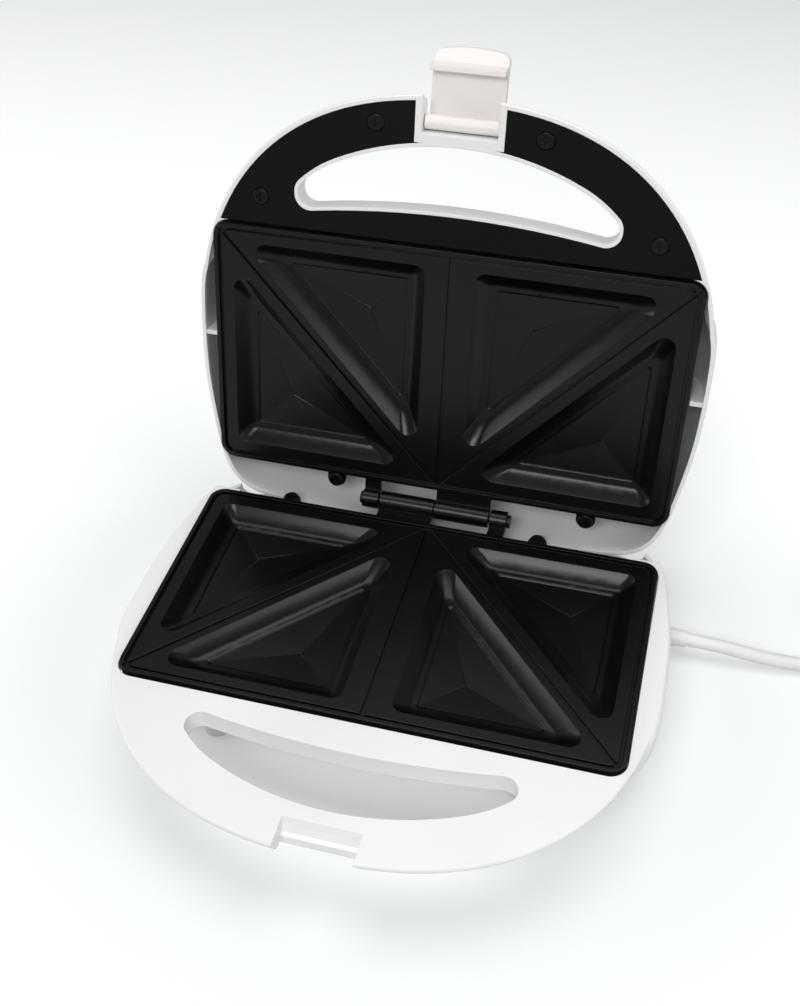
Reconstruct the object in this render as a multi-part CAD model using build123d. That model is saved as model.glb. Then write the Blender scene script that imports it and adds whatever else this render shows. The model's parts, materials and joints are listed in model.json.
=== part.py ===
from build123d import *
import math
import os

# Sandwich toaster: two hinged white housings, each with a cast non-stick plate of four
# triangular pockets, a D-shaped handle loop at the front and a latch on the upper handle.
#
# Everything is drawn with the lid shut, x to the right, y to the back, z up. z = 0 is the
# parting plane between the two plates, y = 0 the rear edge of the plates. The last section
# opens the lid and moves the whole to the rest pose: on the table, centred, lid and latch open.

# ---------------------------------------------------------------- driving dimensions (mm)

# housings, in plan
LID_HALF_WIDTH = 121.0
BASE_HALF_WIDTH = 124.0
WIDEST_Y = -66.0            # where the sides are widest
HANDLE_FRONT_Y = -190.0     # front of the handle loops
HANDLE_POWER = 2.35         # superellipse exponent of the handle's front
PAN_FRONT_Y = -122.0        # front wall of the pans, behind the handle slots
PAN_POWER = 5.0
REAR_Y = 25.5               # back of the housings, on the centre line
SIDE_RADIUS = 250.0
CORNER_RADIUS = 25.0
REAR_RADIUS = 946.0
WALL = 2.0

# housings, in height
RIM_GAP = 2.0               # from the parting plane to either housing's rim
PAN_HEIGHT = 38.5           # from the parting plane to the base's underside
DOME_HEIGHT = 40.0          # from the parting plane to the lid's top
HANDLE_DEPTH = 12.0         # from the parting plane to the far side of either handle loop
TABLE_DEPTH = 43.0          # from the parting plane to the table
REAR_WALL_TOP = -18.8       # top of the base's low rear wall, which the open lid rests on
REAR_GAP_HALF_WIDTH = 105.0
REAR_GAP_CORNER = 8.0

# opening for the plates
OPENING_CLEARANCE = 0.6     # round the plates, at the sides and the rear corners
OPENING_FRONT_Y = -124.5
SHELF_DEPTH = 10.5          # the front shelf, below which the pan wall steps back
SHELF_BACK_Y = -117.0

# handle slot (the finger gap in both loops)
SLOT_HALF_LENGTH = 71.8
SLOT_BACK_MIDDLE_Y = -140.0
SLOT_BACK_END_Y = -133.8
SLOT_FRONT_MIDDLE_Y = -168.8
SLOT_MIDDLE_RADIUS = 128.8  # front edge's middle arc
SLOT_MIDDLE_ANGLE = 25.0    # half of the angle that it spans
SLOT_SIDE_RADIUS = 55.8     # front edge's arcs towards the ends
SLOT_END_RADIUS = 6.2
SLOT_WALL = 1.6

# plates
PLATE_LENGTH = 225.0
PLATE_DEPTH = 123.2
PLATE_CORNER = 7.5
PLATE_GAP = 0.3             # from the parting plane to a plate's rim
PLATE_RIM = 2.0
PLATE_GROOVE = 1.5
PLATE_LAND = 1.0            # from the parting plane to the flat between the pockets
PLATE_GROOVE_DEPTH = 2.2
PLATE_THICKNESS = 3.6
PLATE_SKIRT = 8.5           # from the parting plane to the skirt's edge
POCKET_LEG_X = 86.5
POCKET_LEG_Y = 94.0
POCKET_CORNER = 5.5
INNER_POCKET_AT = (11.6, -114.4)
OUTER_POCKET_AT = (103.0, -9.8)
POCKET_APEX = 7.1           # depth of a pocket's middle below the land

# hinge
HINGE_Y = 10.9
HINGE_BARREL = 9.5
HINGE_PIN = 4.0
HINGE_PIN_CLEARANCE = 0.05
BARREL_HALF_GAP = 0.3
BARREL_END = 27.5
EAR_START = 28.5
EAR_END = 36.5
LID_OPEN_ANGLE = 101.06

# latch
LATCH_PIN_Y = -177.0
LATCH_PIN_Z = 8.5
LATCH_PIN = 2.8
LATCH_HALF_WIDTH = 16.2
LATCH_BAY_CLEARANCE = 0.5
LATCH_BAY_HALF_WIDTH = LATCH_HALF_WIDTH + LATCH_BAY_CLEARANCE
LATCH_BAY_WALL = 2.8
LATCH_BAY_BACK_Y = -173.4
LATCH_OPEN_ANGLE = 95.0

# cord
CORD = 6.5
RELIEF_TIP = 8.0
RELIEF_ROOT = 10.6

# where the parting plane's rear edge stands in the part's own frame
PLATE_REAR_Y = 56.0
PARTING_Z = TABLE_DEPTH

BELOW = -1
ABOVE = 1

# profiles: (height from the parting plane, inset from the plan)
BASE_PROFILE = [
    (RIM_GAP, 1.6), (4.0, 0.4), (10.0, 0.0), (17.0, 0.6), (25.0, 3.0), (32.0, 8.0), (36.5, 14.0),
    (PAN_HEIGHT, 20.0),
]
LID_PROFILE = [
    (RIM_GAP, 0.3), (5.0, 0.0), (12.0, 0.2), (20.0, 1.4), (28.0, 4.4), (34.0, 9.0),
    (38.0, 15.0), (DOME_HEIGHT, 22.0),
]
HANDLE_PROFILE = [
    (RIM_GAP, 0.6), (3.2, 0.0), (5.7, 1.2), (9.3, 3.2), (11.2, 4.8), (HANDLE_DEPTH, 7.0),
]
FRONT_SHARE = 0.55          # the pan's front wall leans less than its sides

# base shell, its feet, posts and cover
OPENING_HALF_WIDTH = PLATE_LENGTH / 2 + OPENING_CLEARANCE
REAR_ROOM = (100.0, 19.0)   # half width and rear end of the room for the hinge
REAR_SIDE_ROOM = (116.0, 3.0)   # half width and front end of the room for the open lid
REAR_GAP_FROM_Y = 9.6
HANDLE_SKIN = 2.0
HANDLE_MOUTH_INSET = 9.0    # edge of the base handle's cover, in from the handle's outline
COVER_THICKNESS = 1.8
COVER_CLEARANCE = 0.15
NOTCH_RAMP = [(-175.2, -2.0), (-177.0, -5.0), (-178.8, -7.4), (-180.3, -8.6), (-180.9, -11.3)]
NOTCH_BACK_Y = -172.8
NOTCH_WALL = 2.5
FOOT = 12.0
FRONT_FEET_AT = (72.0, -113.0)
REAR_FEET_AT = (72.0, 8.0)
PAD = 9.0
PAD_THICKNESS = 3.0
PAD_RECESS = 1.5
TONGUE_X = 60.0
TONGUE_WIDTH = 12.0
TONGUE_Z = (-8.5, -6.0)
TONGUE_REACH = 3.0
TONGUE_CLEARANCE = 0.3
SCREW_TABS_X = (-74.0, 53.0)
SCREW_TAB_Y = 6.3
POST = 6.4
TAB_TOP = 6.4               # from the parting plane to a screw tab's face
TAB_THICKNESS = 2.6
SEAT = 0.05                 # between faces of one body that rest on each other
COVER_SCREWS_AT = [(-86.0, -136.0), (86.0, -136.0), (-44.0, -170.0), (44.0, -170.0)]
COVER_POST = 7.0
RELIEF_AT = (-14.0, -33.0)
RELIEF_ROOT_X = 105.0
RELIEF_COLLAR_X = 115.2
RELIEF_TIP_X = 131.0
RELIEF_SOCKET = 12.6
REFLECTOR_DEPTH = 20.0
REFLECTOR_THICKNESS = 0.6
REFLECTOR_POSTS_AT = [(-92.0, -42.0), (92.0, -42.0), (-88.0, -98.0), (88.0, -98.0)]
REFLECTOR_POST = 8.0
SELF_TAP = 2.6
PLATE_SCREW_LENGTH = 9.0

# plate details and the heating element
POCKET_WALL = [(-1.0, -0.5), (-0.4, 0.0), (0.3, 0.8), (1.8, 2.4), (4.2, 4.5), (6.8, 5.8), (9.4, 6.5)]
POCKET_SHELL = 2.6          # metal under a pocket's surface
FOOT_CORNER = 1.0
BOSS = 7.0
HEATER = 6.5
HEATER_Z = -15.0
CLAMPS_AT = [(-84.0, -61.0), (84.0, -61.0), (0.0, -100.0)]
CLAMP_SPAN = 9.0
CLAMP_THICKNESS = 1.0
STRAP_WIDTH = 9.0
THERMOSTAT_AT = (0.0, -56.0)
THERMOSTAT = 16.0
THERMOSTAT_TOP = -9.0
SKIRT_WALL = 2.5
TAB_WIDTH = 9.4
HINGE_LUG_TOP = -1.35
SCREW_SHANK = 4.0
CLAMP_SEAT_Z = HEATER_Z + 1.5
PLATE_SCREW_HEAD = 7.8

# lid trim, lamps and latch details
TRIM_INSET = 2.2            # black trim's edge, in from the handle's outline
TRIM_THICKNESS = 2.0
LID_HOLLOW_INSET = 6.4      # inside of the lid handle's outer wall, in from its outline
TRIM_CLEARANCE = 0.15
TRIM_BACK_Y = -124.6
LID_GAP_FRONT_Y = -121.5    # front end of the gaps beside the upper plate
TRIM_NOTCH_BACK_Y = -169.3
TRIM_SCREWS_AT = [(-36.7, -176.0), (36.7, -176.0), (-89.45, -137.1), (89.45, -137.1)]
TRIM_SCREW_HEAD = 7.4
TRIM_POST = 7.4
LAMPS_AT = [(-12.0, -131.6), (12.0, -131.6)]
LAMP = 6.4
RIB_Y = -66.0
RIB_THICKNESS = 2.2
LATCH_PLATE_Y = (-187.5, -184.0)
LATCH_KNUCKLE = 6.2
LATCH_HOOK_Z = (-14.6, -12.3)
LATCH_HOOK_Y = -178.2
LATCH_LIP_SIDE_Z = -19.8
LATCH_LIP_MIDDLE_Z = -21.4
LATCH_LIP_CORNER = 4.0
LATCH_LIP_Y = -191.0
TRIM_SEAT_Z = RIM_GAP + TRIM_THICKNESS + SEAT
RIB_TOP = 3.0

# inside the housings
HEATER_LOOP = [
    (-12, 3), (-12, -22), (-84, -22), (-84, -100), (84, -100), (84, -22), (12, -22), (12, 3),
]
HEATER_BEND = 11.0
PIN_END = 3.0
FLOOR = -PAN_HEIGHT + WALL
BLOCK_AT = (64.0, -14.0)
CLAMP_X = 88.0

# cord route, coil and plug
CORD_ROUTE = [
    (131.0, -14.0, -33.0),
    (146.0, -14.0, -33.0),
    (162.0, -13.6, -35.8),
    (180.0, -12.2, -38.4),
    (200.0, -9.2, -38.9),
    (216.0, -7.0, -38.8),
    (230.0, -7.0, -38.8),
]
TIE_THICKNESS = 0.9
COIL_PITCH = 7.2
COIL_CENTRE_X = 236.5
COIL_OUTER = 39.6
COIL_LOWER_HALF_TURNS = 4
COIL_UPPER_RADII = [22.4, 29.2, 32.8, 36.4]
COIL_START_X = 230.0
PLUG_START_X = COIL_CENTRE_X + 32.0
PLUG_SECTIONS = [(0, 9.6, 9.6), (9, 11, 11), (19, 24, 17), (30, 33, 21.6), (46, 36, 22.6)]
PLUG_PIN = 4.8
PLUG_PIN_LENGTH = 19.0
PLUG_PIN_SPACING = 19.0


# ---------------------------------------------------------------- housing outlines


def circle_meeting(centre_a, radius_a, centre_b, radius_b):
    """The point with the larger x where two circles cross."""
    dx = centre_b[0] - centre_a[0]
    dy = centre_b[1] - centre_a[1]
    span = math.hypot(dx, dy)
    along = (radius_a**2 - radius_b**2 + span**2) / (2 * span)
    across = math.sqrt(radius_a**2 - along**2)
    foot = (centre_a[0] + along * dx / span, centre_a[1] + along * dy / span)
    crossings = [
        (foot[0] + across * dy / span, foot[1] - across * dx / span),
        (foot[0] - across * dy / span, foot[1] + across * dx / span),
    ]
    return max(crossings)


def arc_points(centre, radius, start, end, count):
    """Points along an arc, without its first point."""
    steps = [start + (end - start) * i / count for i in range(1, count + 1)]
    return [(centre[0] + radius * math.cos(a), centre[1] + radius * math.sin(a)) for a in steps]


def plan(half_width, front_y, power, inset=0.0, front_inset=None):
    """Plan of a housing: superelliptic front, bulging sides, rounded rear corners."""
    if front_inset is None:
        front_inset = inset
    width = half_width - inset
    depth = WIDEST_Y - front_y - front_inset
    side_radius = SIDE_RADIUS - inset
    rear_radius = REAR_RADIUS - inset
    corner_radius = max(CORNER_RADIUS - inset, CORNER_RADIUS / 4)
    side_centre = (width - side_radius, WIDEST_Y)
    rear_centre = (0.0, REAR_Y - inset - rear_radius)
    corner = circle_meeting(
        side_centre, side_radius - corner_radius, rear_centre, rear_radius - corner_radius
    )
    side_end = math.atan2(corner[1] - side_centre[1], corner[0] - side_centre[0])
    rear_start = math.atan2(corner[1] - rear_centre[1], corner[0] - rear_centre[0])

    right = []
    for i in range(10):
        u = i / 9
        t = math.pi / 2 * (1 - u + 0.8 * math.sin(2 * math.pi * u) / (2 * math.pi))
        t = min(max(t, 0.0), math.pi / 2)
        x = width * abs(math.cos(t)) ** (2 / power)
        y = WIDEST_Y - depth * math.sin(t) ** (2 / power)
        right.append((x, y))
    right += arc_points(side_centre, side_radius, 0.0, side_end, 3)
    right += arc_points(corner, corner_radius, side_end, rear_start, 3)
    right += arc_points(rear_centre, rear_radius, rear_start, math.pi / 2, 3)
    left = [(-x, y) for x, y in reversed(right[1:-1])]
    return make_face(Spline(*right, *left, periodic=True))


def stack(half_width, front_y, power, side, profile, extra=0.0, front_share=1.0):
    """Smooth solid through plans at (height, inset) pairs, below or above the parting plane."""
    faces = [
        Pos(0, 0, side * height)
        * plan(half_width, front_y, power, inset + extra, (inset * front_share) + extra)
        for height, inset in profile
    ]
    return loft(faces)


def box(x, y, z):
    """Box between pairs of limits."""
    size = (x[1] - x[0], y[1] - y[0], z[1] - z[0])
    middle = ((x[0] + x[1]) / 2, (y[0] + y[1]) / 2, (z[0] + z[1]) / 2)
    return Pos(*middle) * Box(*size)


def rod(x, y, z, diameter):
    """Upright cylinder between two heights."""
    return Pos(x, y, z[0]) * Cylinder(
        diameter / 2, z[1] - z[0], align=(Align.CENTER, Align.CENTER, Align.MIN)
    )


def cross_rod(x, y, z, diameter):
    """Cylinder along x between two x values."""
    return Pos(x[0], y, z) * Rot(0, 90, 0) * Cylinder(
        diameter / 2, x[1] - x[0], align=(Align.CENTER, Align.CENTER, Align.MIN)
    )


def slab(face, z):
    """Face drawn at z = 0, raised to span two heights."""
    return Pos(0, 0, z[0]) * extrude(face, z[1] - z[0])


def slot_face(margin=0.0):
    """The finger slot: bowed back edge, arched front edge, round ends."""
    end = SLOT_HALF_LENGTH + margin
    back_end = (end, SLOT_BACK_END_Y + margin)
    middle_centre_y = SLOT_FRONT_MIDDLE_Y + SLOT_MIDDLE_RADIUS
    turn = math.radians(SLOT_MIDDLE_ANGLE)
    step = SLOT_MIDDLE_RADIUS - SLOT_SIDE_RADIUS
    side_centre = (step * math.sin(turn), middle_centre_y - step * math.cos(turn))
    side_radius = SLOT_SIDE_RADIUS + margin
    last_turn = math.asin((end - side_centre[0]) / side_radius)

    def on_side(angle):
        x = side_centre[0] + side_radius * math.sin(angle)
        return (x, side_centre[1] - side_radius * math.cos(angle))

    join = on_side(turn)
    bend = on_side((turn + last_turn) / 2)
    front_end = on_side(last_turn)
    edges = [
        ThreePointArc((-end, back_end[1]), (0, SLOT_BACK_MIDDLE_Y + margin), back_end),
        Line(back_end, front_end),
        ThreePointArc(front_end, bend, join),
        ThreePointArc(join, (0, SLOT_FRONT_MIDDLE_Y - margin), (-join[0], join[1])),
        ThreePointArc((-join[0], join[1]), (-bend[0], bend[1]), (-front_end[0], front_end[1])),
        Line((-front_end[0], front_end[1]), (-end, back_end[1])),
    ]
    face = make_face(edges)
    corners = [v for v in face.vertices() if abs(v.X) > end - 0.01]
    return fillet(corners, SLOT_END_RADIUS + margin * 0.6)


def pan(side, half_width, profile, extra=0.0):
    return stack(half_width, PAN_FRONT_Y, PAN_POWER, side, profile, extra, FRONT_SHARE)


# ---------------------------------------------------------------- base shell


def handle_loop(side, half_width):
    """Outer solid of a handle loop, in front of the widest point."""
    loop = stack(half_width, HANDLE_FRONT_Y, HANDLE_POWER, side, HANDLE_PROFILE)
    reach = 2 * half_width
    return loop & box((-reach, reach), (HANDLE_FRONT_Y - 5, WIDEST_Y - 10), (-50, 50))


def handle_hollow_face(half_width, inset, bay_half_width, bay_back_y):
    """Hollow of a handle loop, round the slot's wall and the latch bay's wall."""
    face = plan(half_width, HANDLE_FRONT_Y, HANDLE_POWER, inset)
    back_y = OPENING_FRONT_Y - WALL
    keep = Pos(0, (back_y + HANDLE_FRONT_Y) / 2) * Rectangle(4 * half_width, back_y - HANDLE_FRONT_Y)
    front = HANDLE_FRONT_Y - 5
    bay = Pos(0, (front + bay_back_y) / 2) * Rectangle(2 * bay_half_width, bay_back_y - front)
    return (face & keep) - slot_face(SLOT_WALL) - bay


def opening_outline():
    """Outline of the opening that a plate stands in."""
    length = OPENING_CLEARANCE - OPENING_FRONT_Y
    outline = Pos(0, OPENING_FRONT_Y + length / 2) * Rectangle(2 * OPENING_HALF_WIDTH, length)
    return fillet(outline.vertices(), PLATE_CORNER + OPENING_CLEARANCE)


def base_opening():
    """Opening for the lower plate, with room behind it for the hinge and the open lid."""
    span = (-SHELF_DEPTH, 0)
    hole = slab(opening_outline(), span)
    half_width, rear_y = REAR_ROOM
    hole += box((-half_width, half_width), (0, rear_y), span)
    half_width, front_y = REAR_SIDE_ROOM
    hole += box((-half_width, half_width), (front_y, rear_y), span)
    return hole


def notch_cut():
    """Front notch of the lower handle: a ramp down to the lip that the latch catches."""
    top_y = NOTCH_RAMP[0][0]
    lip_y = NOTCH_RAMP[-1][0]
    front = HANDLE_FRONT_Y - 5
    below = -HANDLE_DEPTH - 3
    ramp = [*NOTCH_RAMP, (lip_y, below), (front, below), (front, 1.0), (top_y, 1.0)]
    face = make_face(Polyline(*ramp, close=True))
    return extrude(Plane.YZ * face, LATCH_BAY_HALF_WIDTH, both=True)


def housing_posts(side, floor, tabs_x):
    """Posts on a housing's floor for the plate's screws and the heat shield."""
    posts = []
    near = side * (TAB_TOP + TAB_THICKNESS + SEAT)
    for x in tabs_x:
        posts.append(rod(x, SCREW_TAB_Y, (min(near, floor), max(near, floor)), POST))
    near = side * (REFLECTOR_DEPTH + REFLECTOR_THICKNESS + SEAT)
    for x, y in REFLECTOR_POSTS_AT:
        posts.append(rod(x, y, (min(near, floor), max(near, floor)), REFLECTOR_POST))
    return posts


def pilot_holes(side, tabs_x):
    """Holes in the posts that the plate's rear screws bite into."""
    ends = sorted((side * TAB_TOP, side * (TAB_TOP + PLATE_SCREW_LENGTH + 1.0)))
    return [rod(x, SCREW_TAB_Y, ends, SCREW_SHANK + 0.1) for x in tabs_x]


def tongue_windows(side):
    """Windows in the opening's front wall for the plate's front tongues."""
    cuts = []
    half = TONGUE_WIDTH / 2 + TONGUE_CLEARANCE
    z = sorted((side * -TONGUE_Z[0], side * -TONGUE_Z[1]))
    for x in (-TONGUE_X, TONGUE_X):
        cuts.append(
            box(
                (x - half, x + half),
                (OPENING_FRONT_Y - WALL - 1, OPENING_FRONT_Y + 1),
                (z[0] - TONGUE_CLEARANCE, z[1] + TONGUE_CLEARANCE),
            )
        )
    return cuts


def base_shell():
    outer = pan(BELOW, BASE_HALF_WIDTH, BASE_PROFILE)
    handle_width = BASE_HALF_WIDTH - 1
    loop = handle_loop(BELOW, handle_width)
    feet = []
    for x, y in (FRONT_FEET_AT, REAR_FEET_AT):
        for side in (-1, 1):
            top = -HANDLE_DEPTH + 2 if y < 0 else -30.0
            feet.append(rod(side * x, y, (-TABLE_DEPTH + PAD_RECESS, top), FOOT))
    shell = outer + loop + feet

    inner_profile = [(h, i) for h, i in BASE_PROFILE if 4.0 <= h < PAN_HEIGHT - WALL]
    inner_profile.append((PAN_HEIGHT - WALL, BASE_PROFILE[-2][1] + 2.0))
    inner = stack(
        BASE_HALF_WIDTH, PAN_FRONT_Y, PAN_POWER, BELOW, inner_profile, WALL, FRONT_SHARE
    )
    ceiling = box((-200, 200), (-200, 200), (-60, -SHELF_DEPTH - 1.5))
    side_room = box((-200, 200), (SHELF_BACK_Y, 200), (-60, 0))
    shell -= (inner & ceiling) + (inner & side_room)
    shell -= base_opening()

    hollow = handle_hollow_face(
        handle_width, HANDLE_MOUTH_INSET, LATCH_BAY_HALF_WIDTH + NOTCH_WALL, NOTCH_BACK_Y
    )
    shell -= slab(hollow, (-HANDLE_DEPTH - 1, -RIM_GAP - HANDLE_SKIN))
    posts = [
        rod(x, y, (-HANDLE_DEPTH + COVER_THICKNESS + SEAT, -RIM_GAP), COVER_POST)
        for x, y in COVER_SCREWS_AT
    ]
    shell += posts
    shell -= [
        rod(x, y, (-HANDLE_DEPTH, -RIM_GAP - 1.5), SELF_TAP) for x, y in COVER_SCREWS_AT
    ]
    shell -= slab(slot_face(), (-60, 1)) & box((-200, 200), (-200, -120), (-HANDLE_DEPTH - 1, 1))
    shell -= notch_cut()

    shell += [p & outer for p in housing_posts(BELOW, -PAN_HEIGHT + WALL / 2, SCREW_TABS_X)]
    shell -= pilot_holes(BELOW, SCREW_TABS_X)
    shell -= tongue_windows(BELOW)

    rear_gap = Pos(0, REAR_WALL_TOP / 2) * Rectangle(2 * REAR_GAP_HALF_WIDTH, -REAR_WALL_TOP)
    rear_gap = fillet(rear_gap.vertices().sort_by(Axis.Y)[:2], REAR_GAP_CORNER)
    shell -= Pos(0, REAR_Y + 5, 0) * extrude(Plane.XZ * rear_gap, REAR_Y + 5 - REAR_GAP_FROM_Y)

    socket = cross_rod((RELIEF_ROOT_X - 1.0, RELIEF_COLLAR_X), *RELIEF_AT, RELIEF_SOCKET)
    shell += socket
    shell -= cross_rod((RELIEF_ROOT_X - 5.0, RELIEF_COLLAR_X + 5.0), *RELIEF_AT, RELIEF_ROOT + 0.1)
    for x, y in (FRONT_FEET_AT, REAR_FEET_AT):
        for side in (-1, 1):
            foot_end = -TABLE_DEPTH + PAD_RECESS
            shell -= rod(side * x, y, (foot_end - 1, foot_end + PAD_THICKNESS - PAD_RECESS), PAD + 0.2)
    return shell


# ---------------------------------------------------------------- plates


def pocket_face(corner, toward, inset, radius):
    """Right triangle with round corners, drawn in from its edges by an inset."""
    long_side = math.hypot(POCKET_LEG_X, POCKET_LEG_Y)
    inradius = (POCKET_LEG_X + POCKET_LEG_Y - long_side) / 2
    centre = (corner[0] + toward[0] * inradius, corner[1] + toward[1] * inradius)
    scale = (inradius - inset) / inradius
    points = [
        corner,
        (corner[0] + toward[0] * POCKET_LEG_X, corner[1]),
        (corner[0], corner[1] + toward[1] * POCKET_LEG_Y),
    ]
    drawn = [
        (centre[0] + scale * (x - centre[0]), centre[1] + scale * (y - centre[1]))
        for x, y in points
    ]
    face = make_face(Polyline(*drawn, close=True))
    return fillet(face.vertices(), radius)


def pocket(corner, toward, shift=0.0, drop=0.0):
    """Solid that a pocket takes out of the plate: rounded wall, then a shallow pyramid."""
    inradius = (POCKET_LEG_X + POCKET_LEG_Y - math.hypot(POCKET_LEG_X, POCKET_LEG_Y)) / 2
    last = POCKET_WALL[-1][0]
    wall = []
    for inset, depth in POCKET_WALL:
        share = (inset - POCKET_WALL[0][0]) / (last - POCKET_WALL[0][0])
        radius = POCKET_CORNER * (1 - share) + FOOT_CORNER * share
        face = pocket_face(corner, toward, inset + shift, radius)
        wall.append(Pos(0, 0, -PLATE_LAND - depth - drop) * face)
    tip = inradius - 1.0
    floor_depth = PLATE_LAND + POCKET_APEX + drop
    apex = Pos(0, 0, -floor_depth) * pocket_face(corner, toward, tip, FOOT_CORNER / 20)
    return loft(wall) + loft([wall[-1], apex], ruled=True)


def groove(start, end):
    """Straight groove in the land between two points."""
    length = math.hypot(end[0] - start[0], end[1] - start[1])
    angle = math.degrees(math.atan2(end[1] - start[1], end[0] - start[0]))
    depth = PLATE_GROOVE_DEPTH - PLATE_LAND
    middle = ((start[0] + end[0]) / 2, (start[1] + end[1]) / 2, -PLATE_LAND - depth / 2 + 0.5)
    return Pos(*middle) * Rot(0, 0, angle) * Box(length, PLATE_GROOVE, depth + 1)


def rounded(length, depth, corner, centre_y):
    return Pos(0, centre_y) * RectangleRounded(length, depth, corner)


def hinge_barrel(x, lug_top):
    """Barrel or ear on the hinge axis with the lug that joins it to the plate's rear edge."""
    barrel = cross_rod(x, HINGE_Y, 0, HINGE_BARREL)
    low = -HINGE_BARREL / 2
    lug = box(x, (-PLATE_RIM, HINGE_Y), (low, lug_top))
    return [barrel, lug]


def plate():
    """The casting that serves as both plates, drawn as the lower one."""
    middle_y = -PLATE_DEPTH / 2
    block = rounded(PLATE_LENGTH, PLATE_DEPTH, PLATE_CORNER, middle_y)
    bottom = -PLATE_GAP - PLATE_THICKNESS
    casting = slab(block, (bottom, -PLATE_GAP))
    inner_length = PLATE_LENGTH - 2 * SKIRT_WALL
    inner_depth = PLATE_DEPTH - 2 * SKIRT_WALL
    core = rounded(inner_length, inner_depth, PLATE_CORNER - SKIRT_WALL, middle_y)
    casting += slab(block - core, (-PLATE_SKIRT, bottom))
    pockets = []
    for side in (-1, 1):
        inner = (side * INNER_POCKET_AT[0], INNER_POCKET_AT[1])
        outer = (side * OUTER_POCKET_AT[0], OUTER_POCKET_AT[1])
        pockets.append((inner, (side, 1)))
        pockets.append((outer, (-side, -1)))
    for corner, toward in pockets:
        casting += pocket(corner, toward, -POCKET_SHELL, POCKET_SHELL)
    above = box((-200, 200), (-200, 50), (-PLATE_GAP, 20))
    casting -= above

    for x, y in CLAMPS_AT:
        for step in (-CLAMP_SPAN, CLAMP_SPAN):
            at = (x, y + step) if x == 0 else (x + step, y)
            casting += rod(at[0], at[1], (CLAMP_SEAT_Z, bottom + 0.5), BOSS)
    casting += rod(*THERMOSTAT_AT, (THERMOSTAT_TOP + SEAT, bottom + 0.5), THERMOSTAT - 2)
    for x in (-TONGUE_X, TONGUE_X):
        half = TONGUE_WIDTH / 2
        casting += box(
            (x - half, x + half), (-PLATE_DEPTH - TONGUE_REACH, -PLATE_DEPTH + 1), TONGUE_Z
        )
    for x in SCREW_TABS_X:
        tab = rod(x, SCREW_TAB_Y, (-TAB_TOP - TAB_THICKNESS, -TAB_TOP), TAB_WIDTH)
        half = TAB_WIDTH / 2
        tab += box(
            (x - half, x + half), (-1.0, SCREW_TAB_Y), (-TAB_TOP - TAB_THICKNESS, -TAB_TOP)
        )
        casting += tab
    casting += hinge_barrel((-BARREL_END, -BARREL_HALF_GAP), HINGE_LUG_TOP)
    casting += hinge_barrel((EAR_START, EAR_END), HINGE_LUG_TOP)

    rim = rounded(
        PLATE_LENGTH - 2 * PLATE_RIM, PLATE_DEPTH - 2 * PLATE_RIM, PLATE_CORNER - PLATE_RIM, middle_y
    )
    edge = PLATE_RIM + PLATE_GROOVE
    land = rounded(PLATE_LENGTH - 2 * edge, PLATE_DEPTH - 2 * edge, PLATE_CORNER - edge, middle_y)
    casting -= slab(rim, (-PLATE_LAND, 0))
    casting -= slab(rim - land, (-PLATE_GROOVE_DEPTH, -PLATE_LAND / 2))
    front_y = -PLATE_DEPTH + edge - 0.5
    side_x = PLATE_LENGTH / 2 - edge + 0.5
    casting -= groove((0, -edge + 1), (0, front_y))
    for side in (-1, 1):
        casting -= groove((0, -edge + 1), (side * side_x, front_y))
    for corner, toward in pockets:
        casting -= pocket(corner, toward)
    for x in SCREW_TABS_X:
        casting -= rod(x, SCREW_TAB_Y, (-20, 0), SCREW_SHANK + 0.6)
    bore = HINGE_PIN + 2 * HINGE_PIN_CLEARANCE
    casting -= cross_rod((-EAR_END - 1, EAR_END + 1), HINGE_Y, 0, bore)
    return casting


def turned(shape):
    """The lower piece turned over to serve in the lid."""
    return Rot(0, 180, 0) * shape


def hinge_pin():
    pin = cross_rod((-EAR_END - 1.5, EAR_END + 1.5), HINGE_Y, 0, HINGE_PIN)
    head = cross_rod((EAR_END + 0.3, EAR_END + 1.8), HINGE_Y, 0, HINGE_PIN + 2.5)
    clip = cross_rod((-EAR_END - 1.5, -EAR_END - 0.5), HINGE_Y, 0, HINGE_PIN + 2.0)
    return pin + head + clip


def cross_head(diameter, height, z, side):
    """Pan head with a cross recess, its underside at z, facing up or down."""
    head = Pos(0, 0, z) * Cylinder(
        diameter / 2, height, align=(Align.CENTER, Align.CENTER, Align.MIN)
    )
    head = fillet(head.edges().sort_by(Axis.Z)[-1], height * 0.45)
    depth = height * 0.5
    recess = Pos(0, 0, z + height - depth / 2 + 0.5) * (
        Box(diameter * 0.55, diameter * 0.13, depth + 1)
        + Box(diameter * 0.13, diameter * 0.55, depth + 1)
    )
    screw = head - recess
    return screw if side > 0 else Rot(180, 0, 0) * screw


def screw(x, y, z, head, head_height, shank, length, side):
    """Screw whose head's underside sits at z; the shank runs away from side."""
    body = cross_head(head, head_height, 0, 1)
    body += Cylinder(shank / 2, length, align=(Align.CENTER, Align.CENTER, Align.MAX))
    if side < 0:
        body = Rot(180, 0, 0) * body
    return Pos(x, y, z) * body


def group(solids):
    """Separate solids kept in one node."""
    flat = []
    for item in solids:
        flat += item.solids()
    return Compound(children=flat)


def plate_screws():
    return group(
        screw(x, SCREW_TAB_Y, -TAB_TOP + SEAT, PLATE_SCREW_HEAD, 2.4, SCREW_SHANK, PLATE_SCREW_LENGTH, 1)
        for x in SCREW_TABS_X
    )


# ---------------------------------------------------------------- lid shell, trim and latch


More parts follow.
